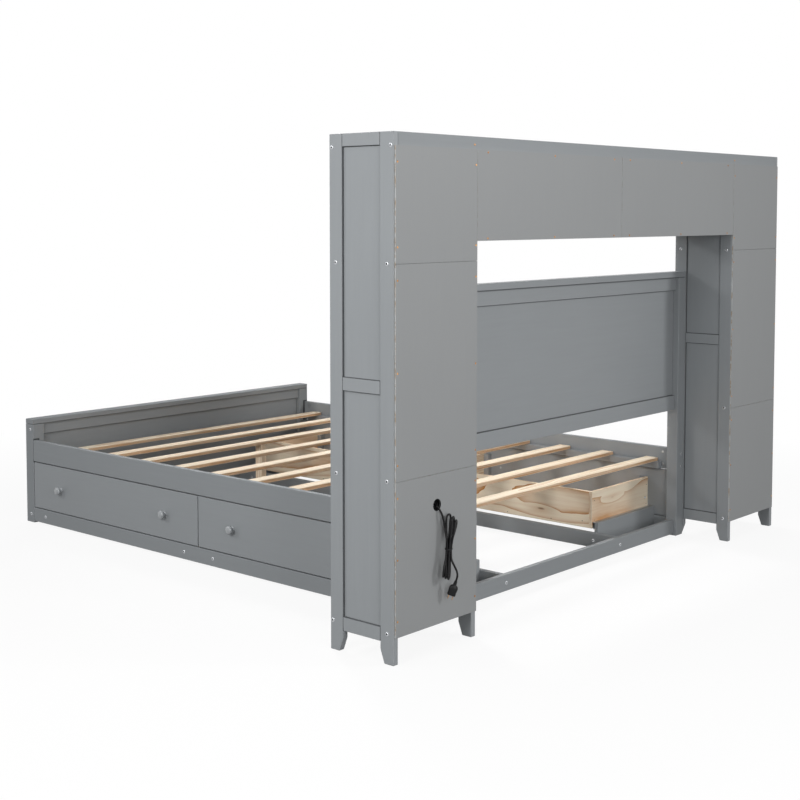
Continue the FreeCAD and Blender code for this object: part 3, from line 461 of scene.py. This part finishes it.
def surface(name, grids, finish, body="root", second=None, angle=35):
    # grids: one grid of points, or copies of it, shape (copies, rows, columns, 3). Quads join
    # the neighbours, and the last column joins the first. Rows that shrink to a point become
    # poles. second names a finish and the first row that wears it. Edges under the angle are
    # smooth.
    grids = np.asarray(grids, float)
    if grids.ndim == 3:
        grids = grids[None]
    copies, rows, columns = grids.shape[:3]
    index = np.arange(copies * rows * columns).reshape(copies, rows, columns)
    index = np.concatenate([index, index[:, :, :1]], 2)
    quads = np.stack([index[:, :-1, :-1], index[:, :-1, 1:], index[:, 1:, 1:], index[:, 1:, :-1]],
                     -1)
    mesh = bpy.data.meshes.new(name)
    mesh.from_pydata(grids.reshape(-1, 3), [], quads.reshape(-1, 4))
    mesh.materials.append(finishes[finish])
    if second:
        mesh.materials.append(finishes[second[0]])
        wears = np.broadcast_to((np.arange(rows - 1) >= second[1])[None, :, None], quads.shape[:3])
        mesh.polygons.foreach_set("material_index", wears.ravel().astype(int))
    mesh.polygons.foreach_set("use_smooth", np.ones(len(mesh.polygons), bool))
    shell = bmesh.new()
    shell.from_mesh(mesh)
    bmesh.ops.remove_doubles(shell, verts=shell.verts, dist=1e-6)
    bmesh.ops.recalc_face_normals(shell, faces=shell.faces)
    for edge in shell.edges:
        edge.smooth = len(edge.link_faces) == 2 and edge.calc_face_angle() < math.radians(angle)
    shell.to_mesh(mesh)
    shell.free()
    piece = bpy.data.objects.new(name, mesh)
    bpy.context.scene.collection.objects.link(piece)
    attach(piece, body)
    return piece


directions = {
    # two directions across, and the one that a head looks out along
    "+x": ((0, 1, 0), (0, 0, 1), (1, 0, 0)),
    "-x": ((0, -1, 0), (0, 0, 1), (-1, 0, 0)),
    "+y": ((-1, 0, 0), (0, 0, 1), (0, 1, 0)),
    "-y": ((1, 0, 0), (0, 0, 1), (0, -1, 0)),
    "-z": ((1, 0, 0), (0, -1, 0), (0, 0, -1)),
}


def turned(profile, places, columns=16, hexagonal=()):
    # a lathe's surface at each place: each point of the profile is a radius and a height out of
    # the board, carried once round. Rows named in hexagonal follow a hexagon instead of a circle.
    profile = np.asarray(profile, float)
    turn = np.arange(columns) * 2 * np.pi / columns
    hexagon = math.cos(math.pi / 6) / np.cos(turn % (math.pi / 3) - math.pi / 6)
    shape = np.where(np.isin(np.arange(len(profile)), hexagonal)[:, None], hexagon, 1.0)
    radius = profile[:, :1] * shape
    spots = np.array([place for place, way in places], float)
    frames = np.array([directions[way] for place, way in places], float)
    flat = np.stack([radius * np.cos(turn), radius * np.sin(turn),
                     np.broadcast_to(profile[:, 1:], radius.shape)], -1)
    return spots[:, None, None] + np.einsum("rci,kij->krcj", flat, frames)


faces = {
    # |x| of the faces that heads and knobs sit on
    "towerOuter": 1.158,
    "railOuter": 0.788,         # also of the posts, drawer fronts and inner sides of the towers
    "railInner": 0.769,         # also of the drawer fronts
    "boxBack": 0.364,
    "floorRailInner": 0.342,
    # y of the faces at the head and at the foot
    "headPost": 0.973,
    "stretcher": 0.961,
    "footRail": -1.155,
    "footPost": -1.175,
}
bolts = {
    # radius and height of a domed head with a hexagon socket, in metres
    "head": [(0.0060, 0.0), (0.0060, 0.0005), (0.0054, 0.0012), (0.0042, 0.00155),
             (0.0031, 0.0016), (0.0031, 0.0003), (0.0, 0.0003)],
    "socketRows": (4, 5),
    "nut": [(0.0050, 0.0), (0.0050, 0.0004), (0.0044, 0.0006), (0.0, 0.0006)],
    # y and z on the outer and the inner side of a tower
    "towerOuter": ((0.951, 0.519), (1.147, 0.519), (0.951, 1.126), (1.147, 1.126),
                   (0.9365, 0.087), (1.147, 0.087), (0.937, 1.4525), (1.161, 1.4525)),
    "towerInner": ((1.147, 0.087), (1.147, 0.519), (1.147, 1.126), (0.951, 1.126)),
    "footY": -1.144,            # through the footboard's posts into its rails
    "footHeights": (0.3825, 0.0345),
    "sideRailX": 0.774,         # through the posts into the upper side rails
    "sideRailHeights": (0.321, 0.273),
    "nutY": (0.893, -1.089),
    "floorRailX": 0.352,
    "guideY": (-1.044, -0.177, -0.019, 0.848),
    "lowHeight": 0.0345,        # in every board near the floor
}
boltPlaces = []
nutPlaces = []
for side in (1, -1):
    out, back = ("+x", "-x") if side > 0 else ("-x", "+x")
    for y, z in bolts["towerOuter"]:
        boltPlaces.append(((side * faces["towerOuter"], y, z), out))
    for y, z in bolts["towerInner"]:
        boltPlaces.append(((side * faces["railOuter"], y, z), back))
    for z in bolts["footHeights"]:
        boltPlaces.append(((side * faces["railOuter"], bolts["footY"], z), out))
    for z in bolts["sideRailHeights"]:
        boltPlaces.append(((side * bolts["sideRailX"], faces["headPost"], z), "+y"))
        boltPlaces.append(((side * bolts["sideRailX"], faces["footPost"], z), "-y"))
        for y in bolts["nutY"]:
            nutPlaces.append(((side * faces["railInner"], y, z), back))
    z = bolts["lowHeight"]
    boltPlaces.append(((side * bolts["floorRailX"], faces["stretcher"], z), "+y"))
    boltPlaces.append(((side * bolts["floorRailX"], faces["footRail"], z), "-y"))
    for y in bolts["guideY"]:
        boltPlaces.append(((side * faces["railOuter"], y, z), out))
        boltPlaces.append(((side * faces["floorRailInner"], y, z), back))
# the sockets' rows wear the painted shade instead of zinc
boltHeads = surface("boltHeads", turned(bolts["head"], boltPlaces, 18, bolts["socketRows"]),
                    "zinc", second=("socketPaintedShade", bolts["socketRows"][1]))
crossNuts = surface("crossNuts", turned(bolts["nut"], nutPlaces, 14), "zinc")
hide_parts("bolts")
print("bolts:", len(boltPlaces), "and", len(nutPlaces), "cross nuts")


knob = {
    # radius and height of a turned mushroom knob: flange, neck, flared rim and domed head
    "profile": [(0.0, 0.0), (0.0100, 0.0), (0.0104, 0.0010), (0.0098, 0.0022), (0.0072, 0.0036),
                (0.0064, 0.0060), (0.0068, 0.0088), (0.0092, 0.0112), (0.0130, 0.0134),
                (0.0154, 0.0158), (0.0160, 0.0182), (0.0154, 0.0208), (0.0136, 0.0232),
                (0.0105, 0.0252), (0.0062, 0.0265), (0.0020, 0.02696), (0.0, 0.0270)],
    "heightOverFloor": 0.158,
    "places": {"head": (0.089, 0.738), "foot": (-0.934, -0.285)},       # y
}
fastener = {
    # radius and height of a nail's and a screw's head
    "nail": [(0.0018, 0.0), (0.0018, 0.0002), (0.0012, 0.0005), (0.0, 0.0006)],
    "screw": [(0.0046, 0.0), (0.0046, 0.0008), (0.0036, 0.0018), (0.0018, 0.0022),
              (0.0012, 0.0012), (0.0, 0.0012)],
    "recessRows": (4,),
    "boxLow": {"head": 0.002, "foot": -1.023},      # y of a drawer box's side nearer the foot
    "boxWide": 0.825,
    "boxGap": 0.002,            # from that side to the end of the drawer's bay
    "sideNails": ((0.381, 0.102), (0.381, 0.177), (0.755, 0.106), (0.755, 0.183)),      # x, z
    # y from the end of the bay, and z
    "backNails": ((0.030, 0.096), (0.215, 0.084), (0.429, 0.080), (0.640, 0.084), (0.784, 0.096)),
    "sideScrew": (0.746, 0.132),        # x, z
}
for drawer in drawers:
    side = 1 if drawer.startswith("left") else -1
    out, back = ("+x", "-x") if side > 0 else ("-x", "+x")
    bay = "head" if "head" in drawer else "foot"
    low = fastener["boxLow"][bay]
    high = low + fastener["boxWide"]
    knobSpots = [(y, knob["heightOverFloor"]) for y in knob["places"][bay]]
    knobPlaces = [((side * faces["railOuter"], y, z), out) for y, z in knobSpots]
    knobs = surface(drawer + "Knobs", turned(knob["profile"], knobPlaces, 28), "knobPaint", drawer)
    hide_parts(drawer + "_knobs")
    nails = [((side * x, high, z), "+y") for x, z in fastener["sideNails"]]
    nails += [((side * x, low, z), "-y") for x, z in fastener["sideNails"]]
    nails += [((side * faces["boxBack"], low - fastener["boxGap"] + y, z), back)
              for y, z in fastener["backNails"]]
    boxNails = surface(drawer + "BoxNails", turned(fastener["nail"], nails, 10), "steel", drawer)
    x, z = fastener["sideScrew"]
    screws = [((side * faces["railInner"], y, z), back) for y, z in knobSpots]
    screws += [((side * x, high, z), "+y"), ((side * x, low, z), "-y")]
    frontScrews = surface(drawer + "Screws", turned(fastener["screw"], screws, 14,
                                                    fastener["recessRows"]), "zinc", drawer)
print("drawers:", len(drawers), "with knobs, nails and screws")


lead = {
    "diameter": 0.0062,
    "hankMiddle": (0.950, 1.193, 0.300),
    "leanDegrees": 7.64387,
    "halfLong": 0.077,          # from the tie to where a fold starts
    "rightOfPhoto": (-0.66, 0.751, 0),      # towards the photograph's right
    "toCamera": (0.751, 0.66, 0),
    # each run's place to the right and towards the camera: at its upper end, where the tie
    # holds it, and at its lower end
    "runs": (((-0.0120, 0.0080), (0.0008, 0.0082), (-0.0045, 0.0150)),
             ((0.0036, -0.0114), (0.0037, -0.0029), (-0.0020, -0.0100)),
             ((-0.0085, 0.0018), (-0.0009, 0.0018), (0.0025, 0.0095)),
             ((0.0136, -0.0050), (0.0056, 0.0034), (0.0066, -0.0085)),
             ((0.0072, 0.0120), (0.0072, 0.0099), (0.0100, 0.0120)),
             ((0.0226, -0.0120), (0.0101, -0.0012), (0.0150, -0.0060)),
             ((0.0177, 0.0050), (0.0118, 0.0052), (0.0118, 0.0052))),
    # how much longer than halfLong the two runs of each fold are
    "foldsBelow": (-0.0090, -0.0010, 0.0010),
    "foldsAbove": (0.0110, 0.0055, -0.0060),
    "foldStretch": 1.05,        # height of a fold's half circle, against its radius
    # from the gland through the hole in the back panel to the hank
    "upper": [(0.973, 1.126, 0.468), (0.973, 1.126, 0.450), (0.973, 1.139, 0.4365),
              (0.972, 1.158, 0.430), (0.9705, 1.176, 0.4215), (0.9665, 1.1845, 0.408),
              (0.9620, 1.1880, 0.3935)],
    # from the hank to the plug
    "tail": [(0.9480, 1.2074, 0.2849), (0.9501, 1.2094, 0.2712), (0.947, 1.2160, 0.256),
             (0.938, 1.2172, 0.241), (0.931, 1.2168, 0.229), (0.9272, 1.2142, 0.2153),
             (0.930, 1.211, 0.203)],
}
print("lead: route of the hank")


def hankPoints():
    # runs down and up between the folds, drawn together at the tie, where a run's place is
    # waist + (end - waist) (1 - cos(pi height)) / 2; half circles join them at the folds. The
    # first run starts under its upper end, and the last one stops at the tie.
    lean = math.radians(lead["leanDegrees"])
    up = np.array([-math.sin(lean), 0, math.cos(lean)])
    sideways = np.array([lead["rightOfPhoto"], lead["toCamera"]])
    heights = np.array([1, 0.94, 0.82, 0.6, 0.3, 0, -0.3, -0.6, -0.82, -0.94, -1])
    last = len(lead["runs"]) - 1
    paths = []
    for run, ends in enumerate(lead["runs"]):
        upper, waist, lower = np.array(ends)
        above = lead["foldsAbove"][(run - 1) // 2] if run else 0
        below = lead["foldsBelow"][run // 2] if run < last else 0
        height = heights if run % 2 == 0 else heights[::-1]
        height = height[:6] if run == last else height[2:] if run == 0 else height
        spread = (1 - np.cos(np.pi * np.abs(height))) / 2
        end = np.where((height > 0)[:, None], upper, lower)
        place = waist + (end - waist) * spread[:, None]
        half = lead["halfLong"] + np.where(height > 0, above, below)
        paths.append(place @ sideways + up * (height * half)[:, None])
    points = [paths[0]]
    bend = np.radians(np.array([30, 60, 90, 120, 150]))[:, None]
    for run in range(1, last + 1):
        start, gap = paths[run - 1][-1], paths[run][0] - paths[run - 1][-1]
        tip = up * (1 if run % 2 == 0 else -1) * np.linalg.norm(gap) / 2
        points.append(start + gap / 2 * (1 - np.cos(bend))
                      + tip * np.sin(bend) * lead["foldStretch"])
        points.append(paths[run])
    return np.concatenate(points) + np.array(lead["hankMiddle"])


route = np.concatenate([lead["upper"], hankPoints(), lead["tail"]])
leadCurve = bpy.data.curves.new("mainsLead", "CURVE")
leadCurve.dimensions = "3D"
leadCurve.resolution_u = 6
leadCurve.bevel_depth = lead["diameter"] / 2
leadCurve.bevel_resolution = 3
leadCurve.use_fill_caps = True
spline = leadCurve.splines.new("NURBS")
spline.points.add(len(route) - 1)
spline.points.foreach_set("co", np.column_stack([route, np.ones(len(route))]).ravel())
spline.order_u = 3
spline.use_endpoint_u = True
leadCurve.materials.append(finishes["jacket"])
mainsLead = bpy.data.objects.new("mainsLead", leadCurve)
bpy.context.scene.collection.objects.link(mainsLead)
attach(mainsLead, "root")
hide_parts("lead_upper", "lead_hank", "lead_tail")


plug = {
    # stations along the plug from the lead to its face: distance, half width, half thickness
    "stations": [(0.0, 0.0036, 0.0036), (0.0004, 0.0046, 0.0046), (0.0020, 0.0047, 0.0047),
                 (0.0024, 0.0040, 0.0040), (0.0036, 0.0041, 0.0041), (0.0040, 0.0050, 0.0050),
                 (0.0056, 0.0051, 0.0051), (0.0060, 0.0043, 0.0043), (0.0072, 0.0044, 0.0044),
                 (0.0076, 0.0053, 0.0053), (0.0092, 0.0054, 0.0054), (0.0096, 0.0046, 0.0046),
                 (0.0108, 0.0048, 0.0048), (0.0120, 0.0062, 0.0056), (0.0145, 0.0098, 0.0064),
                 (0.0180, 0.0122, 0.0074), (0.0225, 0.0130, 0.0080), (0.0290, 0.0127, 0.0077),
                 (0.0340, 0.0120, 0.0073), (0.0385, 0.0124, 0.0076), (0.0425, 0.0122, 0.0075),
                 (0.0438, 0.0114, 0.0068), (0.0440, 0.0104, 0.0060), (0.0440, 0.0, 0.0)],
    "squareness": 3.2,
    "broadWay": 131.30992,      # degrees from +X to the plug's broad side
    "bladeSpacing": 0.0127,
    # half width of a blade from its root to its tip
    "blade": [(0.0, 0.0032), (0.0095, 0.0032), (0.0112, 0.0026), (0.0120, 0.0016)],
    "bladeHalfThick": 0.00075,
}
plugStart = np.array(lead["tail"][-1])
plugAhead = plugStart - np.array(lead["tail"][-2])
plugAhead /= np.linalg.norm(plugAhead)
broadWay = np.radians(plug["broadWay"])
plugAcross = np.array([math.cos(broadWay), math.sin(broadWay), 0])
plugAcross -= plugAhead * (plugAcross @ plugAhead)
plugAcross /= np.linalg.norm(plugAcross)
plugThrough = np.cross(plugAhead, plugAcross)


def lofted(stations, columns, squareness):
    # rounded rectangles |u / width|^n + |v / thickness|^n = 1 along the plug; n grows from 2 at
    # the neck to the squareness given once the body is wider than thick
    distance, wide, thick = np.array(stations).T
    turn = np.arange(columns) * 2 * np.pi / columns
    cosine, sine = np.cos(turn), np.sin(turn)
    power = 2 / np.where(wide > thick * 1.05, squareness, 2)[:, None]
    u = wide[:, None] * np.sign(cosine) * np.abs(cosine) ** power
    v = thick[:, None] * np.sign(sine) * np.abs(sine) ** power
    return (plugStart + plugAcross * u[..., None] + plugThrough * v[..., None]
            + plugAhead * np.broadcast_to(distance[:, None], u.shape)[..., None])


plugBody = surface("plugBody", lofted(plug["stations"], 32, plug["squareness"]), "black", angle=50)
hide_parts("plug_body")
bladeGrids = []
plugLength = plug["stations"][-1][0]
for sign in (-1, 1):
    # a flat blade: a rectangle at each station, narrower towards the tip, with both ends closed
    along, half = np.array(plug["blade"]).T
    outline = np.array([(1, 1), (1, -1), (-1, -1), (-1, 1)]) * (plug["bladeHalfThick"], 1)
    rows = np.stack([np.stack([corner[0] + 0 * half, corner[1] * half, along], -1)
                     for corner in outline], 1)
    rows = np.concatenate([rows[:1] * (0, 0, 1), rows, rows[-1:] * (0, 0, 1)])
    rows = rows + np.array([sign * plug["bladeSpacing"] / 2, 0, plugLength])
    bladeGrids.append(plugStart + rows @ np.array([plugAcross, plugThrough, plugAhead]))
plugBlades = surface("plugBlades", np.array(bladeGrids), "copper", angle=25)
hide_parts("plug_blades")

relief = {
    # ribbed strain relief under the housing, tapered to the lead: radius and drop
    "ribs": [(0.0, 0.0), (0.0074, 0.0), (0.0074, 0.0030), (0.0056, 0.0034), (0.0056, 0.0052),
             (0.0068, 0.0056), (0.0066, 0.0080), (0.0051, 0.0084), (0.0050, 0.0102),
             (0.0060, 0.0106), (0.0058, 0.0130), (0.0046, 0.0134), (0.0045, 0.0152),
             (0.0053, 0.0156), (0.0050, 0.0180), (0.0042, 0.0184), (0.0041, 0.0202),
             (0.0047, 0.0206), (0.0044, 0.0232), (0.0034, 0.0240), (0.0, 0.0240)],
    "place": (0.973, 1.126, 0.488),
}
strainRelief = surface("strainRelief", turned(relief["ribs"], [(relief["place"], "-z")], 24),
                       "black")

shadeGrommet = {
    # sleeve and recessed face of the black grommet in the hole, which also stands in for the
    # shade inside the tower: radius, and height towards +Y from its face
    "profile": [(0.0048, -0.0010), (0.0164, -0.0010), (0.0173, 0.0), (0.0173, 0.0080),
                (0.0166, 0.0084), (0.0160, 0.0078), (0.0158, 0.0012), (0.0150, 0.0004),
                (0.0048, 0.0004)],
    "place": (leadHole["x"], 1.1630, leadHole["z"]),
}
shadeGrommetRing = turned(shadeGrommet["profile"], [(shadeGrommet["place"], "+y")], 36)
leadShadeGrommet = surface("leadShadeGrommet", np.concatenate([shadeGrommetRing, shadeGrommetRing[:, :1]], 1),
                      "jacket")

tie = {
    "width": 0.0046,
    "thick": 0.0008,
    "radius": 0.0106,           # of the band round the hank
    "middle": (0.0055, 0.0035),     # to the photograph's right and towards its camera
    # the band's cross-section, in shares of its width and thickness
    "ribbon": [(-0.5, 0), (-0.35, 1), (0.35, 1), (0.5, 0), (0.35, -0.2), (-0.35, -0.2)],
    "columns": 48,
}
turn = np.linspace(0, 2 * np.pi, tie["columns"], endpoint=False)[:, None]
lean = math.radians(lead["leanDegrees"])
tieUp = np.array([-math.sin(lean), 0, math.cos(lean)])
tieRight, tieNear = np.array(lead["rightOfPhoto"]), np.array(lead["toCamera"])
tieMiddle = np.array(lead["hankMiddle"]) + np.array(tie["middle"]) @ [tieRight, tieNear]
outward = tieRight * np.cos(turn) + tieNear * np.sin(turn)
band = np.stack([tieMiddle + tieUp * (up * tie["width"])
                 + outward * (tie["radius"] + out * tie["thick"]) for up, out in tie["ribbon"]], 1)
hankTie = surface("hankTie", np.concatenate([band, band[:1]]), "black", angle=30)

print("lead:", len(route), "points, plug, strain relief and tie")


studio = {
    "ambient": 0.34,
    "floorReach": 60,       # metres from the middle to the floor's edges
    "floorWhite": 0.9,      # share of plain white in what the camera sees of the floor
    "floorSeen": (0.9, 0.9, 0.9),
    "floorBounce": tint("505050"),      # for the light that the floor throws back
    "fadeFrom": 1.6,        # metres from the middle, where the floor starts to turn all white
    "fadeWidth": 1.6,
}
reach = studio["floorReach"]
floorMesh = bpy.data.meshes.new("studioFloor")
floorMesh.from_pydata([(-reach, -reach, 0), (reach, -reach, 0), (reach, reach, 0),
                       (-reach, reach, 0)], [], [(0, 1, 2, 3)])
studioFloor = bpy.data.objects.new("studioFloor", floorMesh)
bpy.context.scene.collection.objects.link(studioFloor)


def whiteRays(nodes):
    # 1 for the rays that show the backdrop: straight to the camera, or by gloss or glass
    camera, glossy, through = nodes.node(
        "ShaderNodeLightPath", output=("Is Camera Ray", "Is Glossy Ray", "Is Transmission Ray"))
    return (camera + glossy + through).clamped()


floorFinish = Finish("studioFloorWhite", {"Roughness": 0.9, "Specular IOR Level": 0.0})
floorX, floorY = floorFinish.split(floorFinish.place())[:2]
away = (floorX * floorX + floorY * floorY).root()
faded = ((away - studio["fadeFrom"]) / studio["fadeWidth"]).clamped()
floorWhite = studio["floorWhite"] + faded * (1 - studio["floorWhite"])
floorFinish.wear({"Base Color": floorFinish.mix(whiteRays(floorFinish), studio["floorBounce"],
                                                studio["floorSeen"])})
glow = floorFinish.node("ShaderNodeEmission", values={"Color": (1, 1, 1), "Strength": 1.0})
shown = floorFinish.node("ShaderNodeMixShader", values={
    0: whiteRays(floorFinish) * floorWhite,
    1: Value(floorFinish, floorFinish.shader.outputs[0]), 2: glow})
floorFinish.put(floorFinish.tree.nodes["Material Output"].inputs["Surface"], shown)
floorMesh.materials.append(floorFinish.material)

world = bpy.data.worlds.new("studioWorld")
bpy.context.scene.world = world
world.use_nodes = True
sky = Nodes(world.node_tree)
background = world.node_tree.nodes["Background"]
sky.put(background.inputs["Color"], (1, 1, 1))
sky.put(background.inputs["Strength"],
        whiteRays(sky) * (1 - studio["ambient"]) + studio["ambient"])


softboxes = {
    # on the side of the tower with the outlet
    "keySoftbox": {"place": (4.66, 1.3, 2.3), "target": (1.1, 0.8, 1.1), "size": 1.6,
                   "watts": 51.0, "spread": 140},
    # on the back panels
    "backSoftbox": {"place": (-3.2, 6.4, 3.0), "target": (2.0, 1.1, 1.8), "size": 1.0,
                    "watts": 40.0, "spread": 84},
    # over the foot, for the knobs' shadows
    "crispSoftbox": {"place": (4.3, -3.0, 3.0), "target": (0.8, 0.3, 0.8), "size": 0.7,
                     "watts": 22.0, "spread": 140},
    # wide and soft, beside the camera
    "fillSoftbox": {"place": (2.8, 5.5, 1.5), "target": (0.0, 0.6, 0.5), "size": 2.6,
                    "watts": 86.0, "spread": 180},
    # on the slats, from over the foot
    "bedSoftbox": {"place": (-1.6, -3.4, 4.2), "target": (0.0, 0.8, 0.3), "size": 1.0,
                   "watts": 12.0, "spread": 40},
    # on the shelves' side, which the photograph doesn't show
    "frontSoftbox": {"place": (-4.6, -5.2, 2.6), "target": (0.0, -0.3, 0.6), "size": 2.6,
                     "watts": 110.0, "spread": 180},
}
for name, box in softboxes.items():
    light = bpy.data.lights.new(name, "AREA")
    light.shape = "SQUARE"
    light.size = box["size"]
    light.energy = box["watts"]
    light.spread = math.radians(box["spread"])
    lamp = bpy.data.objects.new(name, light)
    aim = Vector(box["target"]) - Vector(box["place"])
    lamp.location = box["place"]
    lamp.rotation_euler = aim.to_track_quat("-Z", "Y").to_euler()
    bpy.context.scene.collection.objects.link(lamp)

cameraSet = {
    "place": (3.9734, 3.6663, 1.2643),
    "yaw": 0.8505,              # radians
    "pitch": 0.0629,
    "focalPixels": 1370.6,
    "middleRow": 300,           # image row of the lens's axis, from the top
    "imagePixels": 800,
    "sensorWidth": 36,
}
cameraData = bpy.data.cameras.new("studioCamera")
cameraData.sensor_width = cameraSet["sensorWidth"]
cameraData.lens = cameraSet["sensorWidth"] * cameraSet["focalPixels"] / cameraSet["imagePixels"]
cameraData.shift_y = cameraSet["middleRow"] / cameraSet["imagePixels"] - 0.5
studioCamera = bpy.data.objects.new("studioCamera", cameraData)
yaw, pitch = cameraSet["yaw"], cameraSet["pitch"]
ahead = Vector((-math.sin(yaw) * math.cos(pitch), -math.cos(yaw) * math.cos(pitch),
                -math.sin(pitch)))
studioCamera.location = cameraSet["place"]
studioCamera.rotation_euler = ahead.to_track_quat("-Z", "Y").to_euler()
bpy.context.scene.collection.objects.link(studioCamera)
bpy.context.scene.camera = studioCamera
bpy.context.scene.view_settings.view_transform = "Standard"
print("studio: softboxes and the camera")
